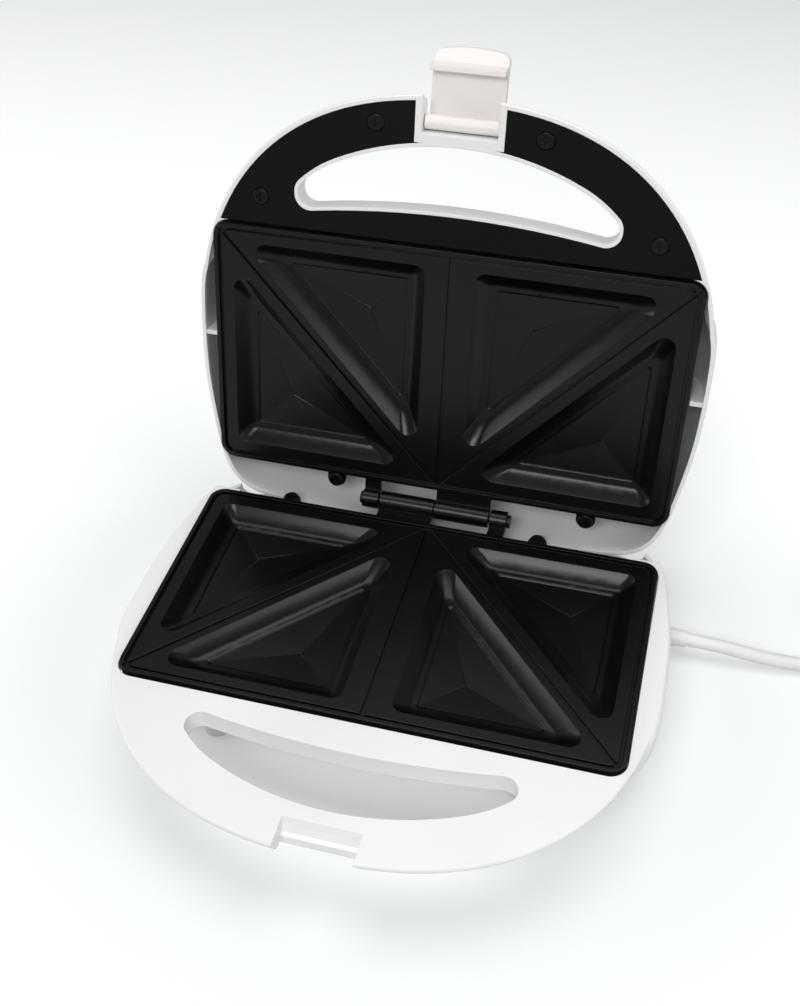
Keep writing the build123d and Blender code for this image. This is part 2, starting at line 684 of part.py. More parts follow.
def lid_shell():
    outer = pan(ABOVE, LID_HALF_WIDTH, LID_PROFILE)
    loop = handle_loop(ABOVE, LID_HALF_WIDTH)
    shell = outer + loop

    inner_profile = [(h, i) for h, i in LID_PROFILE if h < DOME_HEIGHT - WALL - 1]
    inner_profile[0] = (0.0, LID_PROFILE[0][1])
    inner_profile.append((DOME_HEIGHT - WALL, LID_PROFILE[-2][1] + 3.0))
    inner = stack(
        LID_HALF_WIDTH, PAN_FRONT_Y, PAN_POWER, ABOVE, inner_profile, WALL, FRONT_SHARE
    )
    above_shelf = box((-200, 200), (-200, 200), (SHELF_DEPTH + 1.5, 60))
    behind = box((-200, 200), (SHELF_BACK_Y, 200), (-5, 60))
    shell -= (inner & above_shelf) + (inner & behind)
    shell -= slab(opening_outline(), (0, SHELF_DEPTH))
    corner_profile = [(0.0, HANDLE_PROFILE[0][1]), *HANDLE_PROFILE[1:4]]
    corner_room = stack(LID_HALF_WIDTH, HANDLE_FRONT_Y, HANDLE_POWER, ABOVE, corner_profile, WALL)
    shell -= corner_room & box((-200, 200), (LID_GAP_FRONT_Y, WIDEST_Y - 5), (-5, 60))
    seat_front = OPENING_FRONT_Y - WALL - 1
    seat_depth = TRIM_BACK_Y + TRIM_CLEARANCE - seat_front
    seat = Pos(0, seat_front + seat_depth / 2) * Rectangle(3 * LID_HALF_WIDTH, seat_depth)
    seat &= plan(LID_HALF_WIDTH, HANDLE_FRONT_Y, HANDLE_POWER, TRIM_INSET)
    shell -= slab(seat, (0, TRIM_SEAT_Z))

    bay_half = LATCH_BAY_HALF_WIDTH + LATCH_BAY_WALL
    for inset, far_z in ((TRIM_INSET, TRIM_SEAT_Z), (LID_HOLLOW_INSET, HANDLE_DEPTH - HANDLE_SKIN)):
        hollow = handle_hollow_face(
            LID_HALF_WIDTH, inset, bay_half, TRIM_NOTCH_BACK_Y - TRIM_CLEARANCE
        )
        shell -= slab(hollow, (RIM_GAP - 1, far_z))
    shell -= slab(slot_face(), (0, HANDLE_DEPTH + 1))
    for x, y in TRIM_SCREWS_AT:
        post = rod(x, y, (RIM_GAP + TRIM_THICKNESS + SEAT, HANDLE_DEPTH - 1), TRIM_POST)
        post -= rod(x, y, (0, HANDLE_DEPTH - 2), SELF_TAP)
        shell += post
    shell -= box(
        (-LATCH_BAY_HALF_WIDTH, LATCH_BAY_HALF_WIDTH),
        (HANDLE_FRONT_Y - 5, LATCH_BAY_BACK_Y),
        (0, HANDLE_DEPTH + 1),
    )
    pin_half = LATCH_BAY_HALF_WIDTH + LATCH_BAY_WALL - 0.8
    shell -= cross_rod((-pin_half, pin_half), LATCH_PIN_Y, LATCH_PIN_Z, LATCH_PIN + 0.1)

    ribs = box((-130, 130), (RIB_Y - RIB_THICKNESS / 2, RIB_Y + RIB_THICKNESS / 2), (RIB_TOP, 34))
    ribs -= box((-OPENING_HALF_WIDTH, OPENING_HALF_WIDTH), (-200, 0), (-5, 60))
    shell += ribs & outer
    tabs = [-x for x in SCREW_TABS_X]
    shell += [p & outer for p in housing_posts(ABOVE, DOME_HEIGHT - WALL / 2, tabs)]
    shell -= pilot_holes(ABOVE, tabs)
    shell -= tongue_windows(ABOVE)
    for x, y in LAMPS_AT:
        shell -= rod(x, y, (HANDLE_DEPTH - 3, HANDLE_DEPTH + 1), LAMP + 0.2)
    return shell


def lid_trim():
    face = plan(LID_HALF_WIDTH, HANDLE_FRONT_Y, HANDLE_POWER, TRIM_INSET + TRIM_CLEARANCE)
    depth = TRIM_BACK_Y - HANDLE_FRONT_Y
    keep = Pos(0, TRIM_BACK_Y - depth / 2) * Rectangle(300, depth)
    half = LATCH_BAY_HALF_WIDTH + LATCH_BAY_WALL + TRIM_CLEARANCE
    front = HANDLE_FRONT_Y - 5
    notch = Pos(0, (front + TRIM_NOTCH_BACK_Y) / 2) * Rectangle(2 * half, TRIM_NOTCH_BACK_Y - front)
    face = (face & keep) - notch - slot_face(SLOT_WALL + TRIM_CLEARANCE)
    trim = slab(face, (RIM_GAP, RIM_GAP + TRIM_THICKNESS))
    for x, y in TRIM_SCREWS_AT:
        trim -= rod(x, y, (RIM_GAP - 1, RIM_GAP + 1.2), TRIM_SCREW_HEAD + 0.4)
        trim -= rod(x, y, (0, 10), 3.2)
    return trim


def trim_screws():
    return group(
        screw(x, y, RIM_GAP + 1.2 - SEAT, TRIM_SCREW_HEAD, 1.5, SELF_TAP - 0.2, 6.0, -1)
        for x, y in TRIM_SCREWS_AT
    )


def lamp_lenses():
    lenses = []
    for x, y in LAMPS_AT:
        lens = rod(x, y, (HANDLE_DEPTH - HANDLE_SKIN - 1.2, HANDLE_DEPTH + 0.8), LAMP)
        lens = fillet(lens.edges().sort_by(Axis.Z)[-1], 0.7)
        flange = rod(
            x, y, (HANDLE_DEPTH - HANDLE_SKIN - 1.2, HANDLE_DEPTH - HANDLE_SKIN - SEAT), LAMP + 1.8
        )
        lenses.append(lens + flange)
    return lenses


def lamp_board():
    z = HANDLE_DEPTH - HANDLE_SKIN - 1.2 - SEAT
    return box((-19, 19), (LAMPS_AT[0][1] - 4.0, LAMPS_AT[0][1] + 4.0), (z - 1.6, z))


def latch():
    """Cover-width latch: knuckle on the pin, arm, plate, hook ledge and flared thumb lip."""
    y, z = LATCH_PIN_Y, LATCH_PIN_Z
    outer_y, inner_y = LATCH_PLATE_Y
    radius = LATCH_KNUCKLE / 2
    profile = [
        (y, z + radius),
        (outer_y + 2.0, z + radius),
        (outer_y, z + radius - 2.0),
        (outer_y, LATCH_HOOK_Z[0] + 1.0),
        (LATCH_LIP_Y, LATCH_LIP_MIDDLE_Z),
        (LATCH_LIP_Y + 2.6, LATCH_LIP_MIDDLE_Z),
        (inner_y, LATCH_HOOK_Z[0] - 1.2),
        (LATCH_HOOK_Y, LATCH_HOOK_Z[0]),
        (LATCH_HOOK_Y, LATCH_HOOK_Z[1]),
        (inner_y, LATCH_HOOK_Z[1]),
        (inner_y, z - 1.5),
        (inner_y + 1.5, z),
        (y, z - 0.1),
    ]
    face = make_face(Polyline(*profile, close=True))
    body = extrude(Plane.YZ * face, LATCH_HALF_WIDTH + 1, both=True)
    body += cross_rod((-LATCH_HALF_WIDTH - 1, LATCH_HALF_WIDTH + 1), y, z, LATCH_KNUCKLE)
    half = LATCH_HALF_WIDTH
    crown = ThreePointArc((-half, LATCH_LIP_SIDE_Z), (0, LATCH_LIP_MIDDLE_Z), (half, LATCH_LIP_SIDE_Z))
    top = z + radius + 1
    sides = Polyline((half, LATCH_LIP_SIDE_Z), (half, top), (-half, top), (-half, LATCH_LIP_SIDE_Z))
    outline = make_face([crown, sides])
    outline = fillet(outline.vertices().sort_by(Axis.Y)[:2], LATCH_LIP_CORNER)
    body = body & extrude(Plane.XZ * outline, 300)
    body -= cross_rod((-50, 50), y, z, LATCH_PIN + 0.1)
    return body


def latch_pin():
    half = LATCH_BAY_HALF_WIDTH + LATCH_BAY_WALL - 0.9
    return cross_rod((-half, half), LATCH_PIN_Y, LATCH_PIN_Z, LATCH_PIN)


# ---------------------------------------------------------------- parts inside the housings


def tube(points, radii, diameter, name=None):
    """Round tube along straight runs joined by tangent arcs."""
    path = FilletPolyline(*points, radius=radii)
    start = path.position_at(0)
    section = Plane(origin=start, z_dir=path.tangent_at(0)) * Circle(diameter / 2)
    solid = sweep(section, path=path)
    if name:
        ideal = math.pi * diameter**2 / 4 * path.length
        radii_text = ", ".join(f"{r:.0f}" for r in radii)
        ratio = solid.volume / ideal
        print(f"{name}: length {path.length:.0f}, radii {radii_text}, volume ratio {ratio:.4f}")
    return solid


def heater():
    points = [(x, y, HEATER_Z) for x, y in HEATER_LOOP]
    sheath = tube(points, [HEATER_BEND] * (len(points) - 2), HEATER)
    for x in (-12, 12):
        sheath += Pos(x, 2, HEATER_Z) * Rot(-90, 0, 0) * Cylinder(
            PIN_END / 2, 6, align=(Align.CENTER, Align.CENTER, Align.MIN)
        )
    return sheath


def clamp(x, y):
    """Strap under the heater, its ends on two bosses of the plate."""
    radius = HEATER / 2 + SEAT
    along = y if x == 0 else x
    seat = CLAMP_SEAT_Z - SEAT
    half = CLAMP_SPAN + STRAP_WIDTH / 2
    strip = Rectangle(2 * half, CLAMP_THICKNESS, align=(Align.CENTER, Align.MAX))
    face = Pos(0, seat) * strip + Pos(0, HEATER_Z) * Circle(radius + CLAMP_THICKNESS)
    face -= Pos(0, HEATER_Z) * Circle(radius)
    face -= Pos(0, seat + 10) * Rectangle(2 * half, 20)
    face -= Pos(0, HEATER_Z + radius) * Rectangle(2 * radius, 2 * radius)
    strap = extrude(Plane.XZ * face, STRAP_WIDTH / 2, both=True)
    for step in (-CLAMP_SPAN, CLAMP_SPAN):
        strap -= rod(step, 0, (-30, 0), 3.4)
    turn = 90 if x == 0 else 0
    return Pos(x, y, 0) * Rot(0, 0, turn) * strap


def clamps():
    return group(clamp(x, y) for x, y in CLAMPS_AT)


def clamp_screws():
    screws = []
    for x, y in CLAMPS_AT:
        for step in (-CLAMP_SPAN, CLAMP_SPAN):
            at = (x, y + step) if x == 0 else (x + step, y)
            screws.append(
                screw(*at, CLAMP_SEAT_Z - CLAMP_THICKNESS - 2 * SEAT, 6.0, 1.8, 3.0, 1.0, -1)
            )
    return group(screws)


def reflector():
    """Shallow tray of thin sheet between the heater and the housing."""
    sheet = rounded(200, 106, 6, -60)
    inner = rounded(200 - 1.2, 106 - 1.2, 5.4, -60)
    tray = slab(sheet, (-REFLECTOR_DEPTH - REFLECTOR_THICKNESS, -REFLECTOR_DEPTH))
    tray += slab(sheet - inner, (-REFLECTOR_DEPTH, -REFLECTOR_DEPTH + 1.4))
    return tray


def thermostat():
    x, y = THERMOSTAT_AT
    body = rod(x, y, (THERMOSTAT_TOP - 5.0, THERMOSTAT_TOP), THERMOSTAT)
    body += rod(x, y, (THERMOSTAT_TOP - 8.0, THERMOSTAT_TOP - 5.0), THERMOSTAT * 0.7)
    for side in (-1, 1):
        body += box((x + side * 4 - 2, x + side * 4 + 2), (y - 0.4, y + 0.4), (-20.0 + 0.4, -16.5))
    return body


def thermal_fuse():
    bottom = -PLATE_GAP - PLATE_THICKNESS
    z = bottom - 3.2 - SEAT
    body = Pos(0, -28, z) * Rot(90, 0, 0) * Cylinder(3.2, 15)
    body += Pos(0, -28, z) * Rot(90, 0, 0) * Cylinder(0.7, 27)
    return body


def terminal_block():
    x, y = BLOCK_AT
    block = box((x - 9, x + 9), (y - 15, y + 15), (FLOOR + SEAT, FLOOR + 9))
    for step in (-10, 0, 10):
        block -= Pos(x, y + step, FLOOR + 5.5) * Rot(0, 90, 0) * Cylinder(1.8, 30)
        block -= rod(x, y + step, (FLOOR + 6, FLOOR + 12), 3.0)
    return block


def cord_clamp():
    y, z = RELIEF_AT
    top = z + CORD / 2 + SEAT
    strap = box((CLAMP_X - 4, CLAMP_X + 4), (y - 11, y + 11), (FLOOR + SEAT, top + 2.0))
    strap -= cross_rod((CLAMP_X - 10, CLAMP_X + 10), y, z, CORD + 2 * SEAT)
    for side in (-1, 1):
        strap -= rod(CLAMP_X, y + side * 8, (FLOOR - 1, top + 5), 2.6)
    return strap


def cord_clamp_screws():
    y, z = RELIEF_AT
    top = z + CORD / 2 + 2.0 + 3 * SEAT
    return group(
        screw(CLAMP_X, y + side * 8, top, 5.6, 1.8, 2.5, 6.0, 1) for side in (-1, 1)
    )


def cord_inner_end():
    """Stripped end of the cord inside, from the strain relief to the terminal block."""
    y, z = RELIEF_AT
    sheath = cross_rod((CLAMP_X - 8, RELIEF_ROOT_X), y, z, CORD)
    return sheath


def inner_leads():
    """Insulated wires: cord to terminal block, and block to the two ends of the element."""
    y, z = RELIEF_AT
    block_z = FLOOR + 5.5
    block_right = BLOCK_AT[0] + 9 + SEAT
    block_left = BLOCK_AT[0] - 9 - SEAT
    cord_end = CLAMP_X - 8 - SEAT
    element_end = HEATER_Z - PIN_END / 2 - SEAT
    routes = [
        (
            [
                (cord_end, y, z), (cord_end - 2.4, y, z), (cord_end - 4.4, y, block_z),
                (block_right, y, block_z),
            ],
            1.5,
        ),
        (
            [
                (block_left, y - 10, block_z), (44.0, y - 10, block_z), (28.0, 6.5, block_z),
                (12.0, 6.5, -29.0), (12.0, 6.5, element_end),
            ],
            4.0,
        ),
        (
            [
                (block_left, y, block_z), (46.0, -12.0, block_z), (36.0, -4.0, -26.8),
                (-4.0, 1.0, -26.8), (-12.0, 6.5, -24.6), (-12.0, 6.5, element_end),
            ],
            4.0,
        ),
    ]
    return group(tube(points, [bend] * (len(points) - 2), 2.0) for points, bend in routes)


# ---------------------------------------------------------------- small outer pieces

def handle_cover():
    hollow = handle_hollow_face(
        BASE_HALF_WIDTH - 1,
        HANDLE_MOUTH_INSET + COVER_CLEARANCE,
        LATCH_BAY_HALF_WIDTH + NOTCH_WALL + COVER_CLEARANCE,
        NOTCH_BACK_Y + COVER_CLEARANCE,
    )
    hollow -= slot_face(SLOT_WALL + COVER_CLEARANCE)
    cover = slab(hollow, (-HANDLE_DEPTH, -HANDLE_DEPTH + COVER_THICKNESS))
    for x, y in COVER_SCREWS_AT:
        cover -= rod(x, y, (-HANDLE_DEPTH - 1, -HANDLE_DEPTH + 5), 3.0)
    return cover


def cover_screws():
    return group(
        screw(x, y, -HANDLE_DEPTH - SEAT, 5.6, 1.8, SELF_TAP - 0.2, 7.0, -1)
        for x, y in COVER_SCREWS_AT
    )


def foot_pads():
    pads = []
    for x, y in (FRONT_FEET_AT, REAR_FEET_AT):
        for side in (-1, 1):
            pads.append(rod(side * x, y, (-TABLE_DEPTH, -TABLE_DEPTH + PAD_THICKNESS - SEAT), PAD))
    return group(pads)


# ---------------------------------------------------------------- cord


def route_radii(points):
    """Bend at each inner point of a free stretch, as large as its two runs allow."""
    radii = []
    for before, here, after in zip(points, points[1:], points[2:]):
        first = Vector(*here) - Vector(*before)
        second = Vector(*after) - Vector(*here)
        shorter = min(first.length, second.length)
        half_turn = math.radians(first.get_angle(second)) / 2
        radii.append(0.45 * shorter / math.tan(half_turn))
    return radii


def coil_path():
    """Two turns inward on the table, a climb, then a turn and a half outward on top."""
    centre_y = CORD_ROUTE[-1][1] + COIL_OUTER
    low = CORD_ROUTE[-1][2]
    stops = []
    for k in range(COIL_LOWER_HALF_TURNS + 1):
        stops.append((COIL_OUTER - k * COIL_PITCH / 2, low))
    stops += [(radius, low + COIL_PITCH) for radius in COIL_UPPER_RADII]
    places = []
    for k, (radius, z) in enumerate(stops):
        side = -1 if k % 2 == 0 else 1
        places.append((Vector(COIL_CENTRE_X, centre_y + side * radius, z), Vector(-side, 0, 0)))
    edges = [Line((COIL_START_X, CORD_ROUTE[-1][1], low), places[0][0])]
    for (here, heading), (there, _) in zip(places, places[1:]):
        span = there - here
        joint = here + heading * (span.length / 2) + span * 0.5
        edges.append(TangentArc(here, joint, tangent=heading))
        edges.append(TangentArc(joint, there, tangent=span))
    last = places[-1][0]
    edges.append(Line(last, (PLUG_START_X, last.Y, last.Z)))
    return Wire([edge.edge() for edge in edges])


def least_gap(path, diameter, count=900):
    """Least clear distance between stretches of a tube more than a quarter turn apart."""
    points = [path.position_at(i / count) for i in range(count + 1)]
    apart = int(count * COIL_OUTER * math.pi / 2 / path.length)
    least = min(
        (points[i] - points[j]).length
        for i in range(0, count + 1)
        for j in range(i + apart, count + 1)
    )
    return least - diameter


def cord_coil():
    path = coil_path()
    start = Plane(origin=path.position_at(0), z_dir=path.tangent_at(0))
    coil = sweep(start * Circle(CORD / 2), path=path)
    ideal = math.pi * CORD**2 / 4 * path.length
    gap = least_gap(path, CORD)
    print(f"coil: length {path.length:.0f}, least gap {gap:.2f}, volume ratio {coil.volume / ideal:.4f}")
    return coil


def power_cord():
    return tube(CORD_ROUTE, route_radii(CORD_ROUTE), CORD, "power cord")


def coil_top_z():
    return CORD_ROUTE[-1][2] + COIL_PITCH


def cord_tie():
    """Band round both layers of the coil."""
    centre_y = CORD_ROUTE[-1][1] + COIL_OUTER
    inner_x = COIL_CENTRE_X + COIL_UPPER_RADII[0] - CORD / 2 - 0.6
    outer_x = COIL_CENTRE_X + COIL_OUTER - COIL_PITCH / 4 + CORD / 2 + 0.4
    low = -TABLE_DEPTH
    high = coil_top_z() + CORD / 2 + 0.3 + TIE_THICKNESS
    middle = ((inner_x + outer_x) / 2, (low + high) / 2)
    width = outer_x - inner_x + 2 * TIE_THICKNESS
    band = RectangleRounded(width, high - low, 3.6)
    band -= RectangleRounded(width - 2 * TIE_THICKNESS, high - low - 2 * TIE_THICKNESS, 2.7)
    return Pos(middle[0], centre_y, middle[1]) * extrude(Plane.XZ * band, 4.0, both=True)


def plug_axis():
    last_radius = COIL_UPPER_RADII[-1]
    return (CORD_ROUTE[-1][1] + COIL_OUTER - last_radius, coil_top_z())


def plug_body():
    y, z = plug_axis()
    sections = [
        Pos(PLUG_START_X + x, y, z) * (Plane.YZ * RectangleRounded(w, h, h * 0.46))
        for x, w, h in PLUG_SECTIONS
    ]
    return loft(sections)


def plug_pins():
    y, z = plug_axis()
    start = PLUG_START_X + PLUG_SECTIONS[-1][0] + SEAT
    pins = []
    for side in (-1, 1):
        pin = cross_rod(
            (start, start + PLUG_PIN_LENGTH), y + side * PLUG_PIN_SPACING / 2, z, PLUG_PIN
        )
        pins.append(fillet(pin.edges().sort_by(Axis.X)[-1], 1.8))
    return group(pins)


def strain_relief():
    """Rubber sleeve: plug in the socket, collar outside, then a ringed taper to the cord."""
    y, z = RELIEF_AT
    x0, x1, x2 = RELIEF_ROOT_X, RELIEF_COLLAR_X + SEAT, RELIEF_COLLAR_X + 1.6
    root, tip = RELIEF_ROOT / 2, RELIEF_TIP / 2
    profile = [(x0, 0), (x0, root), (x1, root), (x1, RELIEF_SOCKET / 2), (x2, RELIEF_SOCKET / 2)]
    rings = 4
    step = (RELIEF_TIP_X - x2) / rings
    for i in range(rings):
        start = x2 + i * step
        big = root + (tip - root) * i / (rings - 1)
        profile += [(start, big), (start + step * 0.6, big), (start + step * 0.6, big - 0.5)]
        profile += [(start + step * 0.9, big - 0.5)]
    profile[-2:] = []
    profile += [(RELIEF_TIP_X, tip), (RELIEF_TIP_X, 0)]
    face = make_face(Polyline(*profile, close=True))
    return Pos(0, y, z) * revolve(face, Axis.X)


# ---------------------------------------------------------------- rest pose and files


def seat(shape):
    """From the drawing's frame to the part's own: on the table, centred."""
    return Pos(0, PLATE_REAR_Y, PARTING_Z) * shape


def open_lid(shape):
    """Turn a piece of the lid back round the hinge to its open stop."""
    hinge = Pos(0, HINGE_Y, 0)
    return hinge * Rot(-LID_OPEN_ANGLE, 0, 0) * hinge.inverse() * shape


def open_latch(shape):
    """Turn the latch out round its pin."""
    pin = Pos(0, LATCH_PIN_Y, LATCH_PIN_Z)
    return pin * Rot(-LATCH_OPEN_ANGLE, 0, 0) * pin.inverse() * shape


def write(name, shape):
    export_step(seat(shape), os.path.join("parts", name + ".step"))


os.makedirs("parts", exist_ok=True)

lower = {
    "plate": plate(),
    "plate_screws": plate_screws(),
    "heater": heater(),
    "heater_clamps": clamps(),
    "clamp_screws": clamp_screws(),
    "reflector": reflector(),
}
for name, shape in lower.items():
    write("lower_" + name, shape)
    write("upper_" + name, open_lid(turned(shape)))

base_pieces = {
    "base_shell": base_shell(),
    "base_handle_cover": handle_cover(),
    "base_cover_screws": cover_screws(),
    "foot_pads": foot_pads(),
    "hinge_pin": hinge_pin(),
    "thermostat": thermostat(),
    "thermal_fuse": thermal_fuse(),
    "terminal_block": terminal_block(),
    "cord_inner_end": cord_inner_end(),
    "inner_leads": inner_leads(),
    "cord_clamp": cord_clamp(),
    "cord_clamp_screws": cord_clamp_screws(),
    "strain_relief": strain_relief(),
    "power_cord": power_cord(),
    "cord_coil": cord_coil(),
    "cord_tie": cord_tie(),
    "plug_body": plug_body(),
    "plug_pins": plug_pins(),
}
for name, shape in base_pieces.items():
    write(name, shape)

lens_red, lens_green = lamp_lenses()
lid_pieces = {
    "lid_shell": lid_shell(),
    "lid_handle_trim": lid_trim(),
    "lid_trim_screws": trim_screws(),
    "lamp_board": lamp_board(),
    "lamp_lens_red": lens_red,
    "lamp_lens_green": lens_green,
    "latch_pin": latch_pin(),
}
for name, shape in lid_pieces.items():
    write(name, open_lid(shape))

write("latch", open_lid(open_latch(latch())))
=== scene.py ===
import bmesh
import bpy
import json
import math
from mathutils import Matrix, Vector


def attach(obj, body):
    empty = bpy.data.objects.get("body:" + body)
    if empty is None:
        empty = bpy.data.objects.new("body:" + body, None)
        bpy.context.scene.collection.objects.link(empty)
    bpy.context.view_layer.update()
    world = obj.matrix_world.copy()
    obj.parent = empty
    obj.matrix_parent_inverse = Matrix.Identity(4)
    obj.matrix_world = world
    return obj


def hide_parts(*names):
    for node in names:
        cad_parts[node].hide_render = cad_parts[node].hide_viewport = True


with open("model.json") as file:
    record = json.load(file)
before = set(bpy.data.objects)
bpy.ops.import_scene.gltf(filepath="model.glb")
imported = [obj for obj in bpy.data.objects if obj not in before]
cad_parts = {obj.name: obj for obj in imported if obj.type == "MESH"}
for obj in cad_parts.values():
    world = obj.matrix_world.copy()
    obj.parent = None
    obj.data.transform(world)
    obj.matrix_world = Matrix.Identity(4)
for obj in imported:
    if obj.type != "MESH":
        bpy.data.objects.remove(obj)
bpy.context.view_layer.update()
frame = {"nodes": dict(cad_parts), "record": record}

# ------------------------------------------------------------------ camera
# The photograph's viewpoint: in front of the handles, a little to the right, looking down
# at 43 degrees. The lens is set for a frame of 800 by 1006.

CAMERA_TARGET = Vector((-0.0179, 0.0670, 0.0430))
CAMERA_DISTANCE = 0.6316
CAMERA_AZIMUTH = math.radians(15.48)
CAMERA_ELEVATION = math.radians(42.69)
CAMERA_ROLL = math.radians(-0.82)
CAMERA_FOCAL_PIXELS = 1260.8
FRAME_HEIGHT_PIXELS = 1006
SENSOR = 36.0

away = Vector(
    (
        math.sin(CAMERA_AZIMUTH) * math.cos(CAMERA_ELEVATION),
        -math.cos(CAMERA_AZIMUTH) * math.cos(CAMERA_ELEVATION),
        math.sin(CAMERA_ELEVATION),
    )
)
level = Vector((math.cos(CAMERA_AZIMUTH), math.sin(CAMERA_AZIMUTH), 0.0))
upright = away.cross(level)
right = level * math.cos(CAMERA_ROLL) + upright * math.sin(CAMERA_ROLL)
up = upright * math.cos(CAMERA_ROLL) - level * math.sin(CAMERA_ROLL)

camera_data = bpy.data.cameras.new("camera")
camera_data.sensor_width = SENSOR
camera_data.lens = CAMERA_FOCAL_PIXELS / FRAME_HEIGHT_PIXELS * SENSOR
camera_data.clip_start = 0.02
camera = bpy.data.objects.new("camera", camera_data)
turn = Matrix((right, up, away)).transposed().to_4x4()
camera.matrix_world = Matrix.Translation(CAMERA_TARGET + away * CAMERA_DISTANCE) @ turn
bpy.context.scene.collection.objects.link(camera)
bpy.context.scene.camera = camera
bpy.context.scene.view_settings.view_transform = "Standard"


# ------------------------------------------------------------------ table and light
# A pale seamless table top under soft studio light: a broad lamp high at the front, which
# lights the faces that the viewer sees, weaker ones overhead and low at either side, which
# draw the slopes of the pockets, and an even, slightly cool room.

TABLE_SIZE = 6.0
TABLE_WHITE = "#D4D6D7"
TABLE_PAINTED_LIGHT = 0.47
PAINTED_LIGHT_AT_OBJECT = 0.55         # share of the painted light under the object, which leaves painted shade there
PAINTED_LIGHT_STARTS = 0.16            # distance from the object's middle
PAINTED_LIGHT_FULL = 0.34
PAINTED_LIGHT_FADES = 0.25             # distance behind the object's middle
PAINTED_LIGHT_ENDS = 1.6
TABLE_ROUGHNESS = 0.7
ROOM_LIGHT = (0.94, 0.985, 1.0, 1.0)
ROOM_STRENGTH = 0.33
BACKDROP_STRENGTH = 0.86      # how bright the room looks to the camera itself
LAMPS = [                     # name, place, aim, size in metres, power in watts
    ("overhead lamp", (0.0, 0.3, 1.7), (0.0, 0.0, 0.05), (1.4, 1.0), 11.0),
    ("front lamp", (-0.1, -1.5, 1.5), (0.0, 0.05, 0.1), (0.9, 0.6), 16.0),
    ("left lamp", (-1.40, -0.05, 0.36), (0.0, 0.0, 0.04), (0.8, 0.6), 4.5),
    ("right lamp", (1.25, -0.36, 0.78), (0.0, 0.0, 0.04), (0.8, 0.6), 4.5),
]


def linear(code):
    """Scene-linear RGBA of an sRGB hex colour."""
    values = [int(code[i : i + 2], 16) / 255 for i in (1, 3, 5)]
    return [v / 12.92 if v <= 0.04045 else ((v + 0.055) / 1.055) ** 2.4 for v in values] + [1.0]


def add(tree, kind, settings=None, inputs=None):
    """New node with its settings, and its inputs set or linked."""
    node = tree.nodes.new(kind)
    for name, value in (settings or {}).items():
        setattr(node, name, value)
    for key, value in (inputs or {}).items():
        if isinstance(value, bpy.types.NodeSocket):
            tree.links.new(value, node.inputs[key])
        else:
            node.inputs[key].default_value = value
    return node


def new_material(name):
    """Empty node material with its output."""
    material = bpy.data.materials.new(name)
    material.use_nodes = True
    tree = material.node_tree
    tree.nodes.clear()
    output = tree.nodes.new("ShaderNodeOutputMaterial")
    return material, tree, output


def link_object(name, data):
    """New object in the scene that shows a mesh, a curve or a lamp."""
    made = bpy.data.objects.new(name, data)
    bpy.context.scene.collection.objects.link(made)
    return made


# A painted board: matt and even. On it lies painted light, an emission that only the camera sees:
# it lifts the table to white away from the object, keeps painted shade under and near the object,
# and fades to a painted grey falloff far behind it.
table_material, tree, output = new_material("painted table top")
place = add(tree, "ShaderNodeTexCoord").outputs["Object"]
parts = add(tree, "ShaderNodeSeparateXYZ", inputs={"Vector": place})
reach = add(tree, "ShaderNodeVectorMath", {"operation": "LENGTH"}, {0: place})
near = add(
    tree,
    "ShaderNodeMapRange",
    inputs={
        "Value": reach.outputs["Value"],
        "From Min": PAINTED_LIGHT_STARTS,
        "From Max": PAINTED_LIGHT_FULL,
        "To Min": PAINTED_LIGHT_AT_OBJECT,
    },
)
far = add(
    tree,
    "ShaderNodeMapRange",
    inputs={"Value": parts.outputs["Y"], "From Min": PAINTED_LIGHT_ENDS, "From Max": PAINTED_LIGHT_FADES},
)
# Painted light: camera-only emission, weaker near the object for painted shade and fading far
# behind for a painted falloff.
paths = add(tree, "ShaderNodeLightPath")
painted_light = paths.outputs["Is Camera Ray"]
for factor in (near.outputs[0], far.outputs[0], TABLE_PAINTED_LIGHT):
    painted_light = add(tree, "ShaderNodeMath", {"operation": "MULTIPLY"}, {0: painted_light, 1: factor}).outputs[0]
paint = add(
    tree,
    "ShaderNodeBsdfPrincipled",
    inputs={
        "Base Color": linear(TABLE_WHITE),
        "Roughness": TABLE_ROUGHNESS,
        "Emission Color": (1.0, 1.0, 1.0, 1.0),
        "Emission Strength": painted_light,
    },
)
tree.links.new(paint.outputs[0], output.inputs["Surface"])

table_mesh = bpy.data.meshes.new("table")
half = TABLE_SIZE / 2
table_mesh.from_pydata(
    [(-half, -half, 0), (half, -half, 0), (half, half, 0), (-half, half, 0)], [], [(0, 1, 2, 3)]
)
table_mesh.materials.append(table_material)
table_top = link_object("table", table_mesh)

world = bpy.data.worlds.new("white room")
world.use_nodes = True
tree = world.node_tree
seen = add(tree, "ShaderNodeLightPath").outputs["Is Camera Ray"]
strength = add(
    tree,
    "ShaderNodeMapRange",
    inputs={"Value": seen, "To Min": ROOM_STRENGTH, "To Max": BACKDROP_STRENGTH},
)
room = tree.nodes["Background"].inputs
room["Color"].default_value = ROOM_LIGHT
tree.links.new(strength.outputs[0], room["Strength"])
bpy.context.scene.world = world

for name, place, aim, size, power in LAMPS:
    data = bpy.data.lights.new(name, "AREA")
    data.shape = "RECTANGLE"
    data.size, data.size_y = size
    data.energy = power
    lamp = link_object(name, data)
    lamp.location = place
    lamp.rotation_euler = (Vector(aim) - Vector(place)).to_track_quat("-Z", "Y").to_euler()


# ------------------------------------------------------------------ white housings
# Base shell, lid shell and the handle's underside cover, injection moulded in glossy white
# ABS with a faint mould texture. The covers and pans are screwed together from inside.

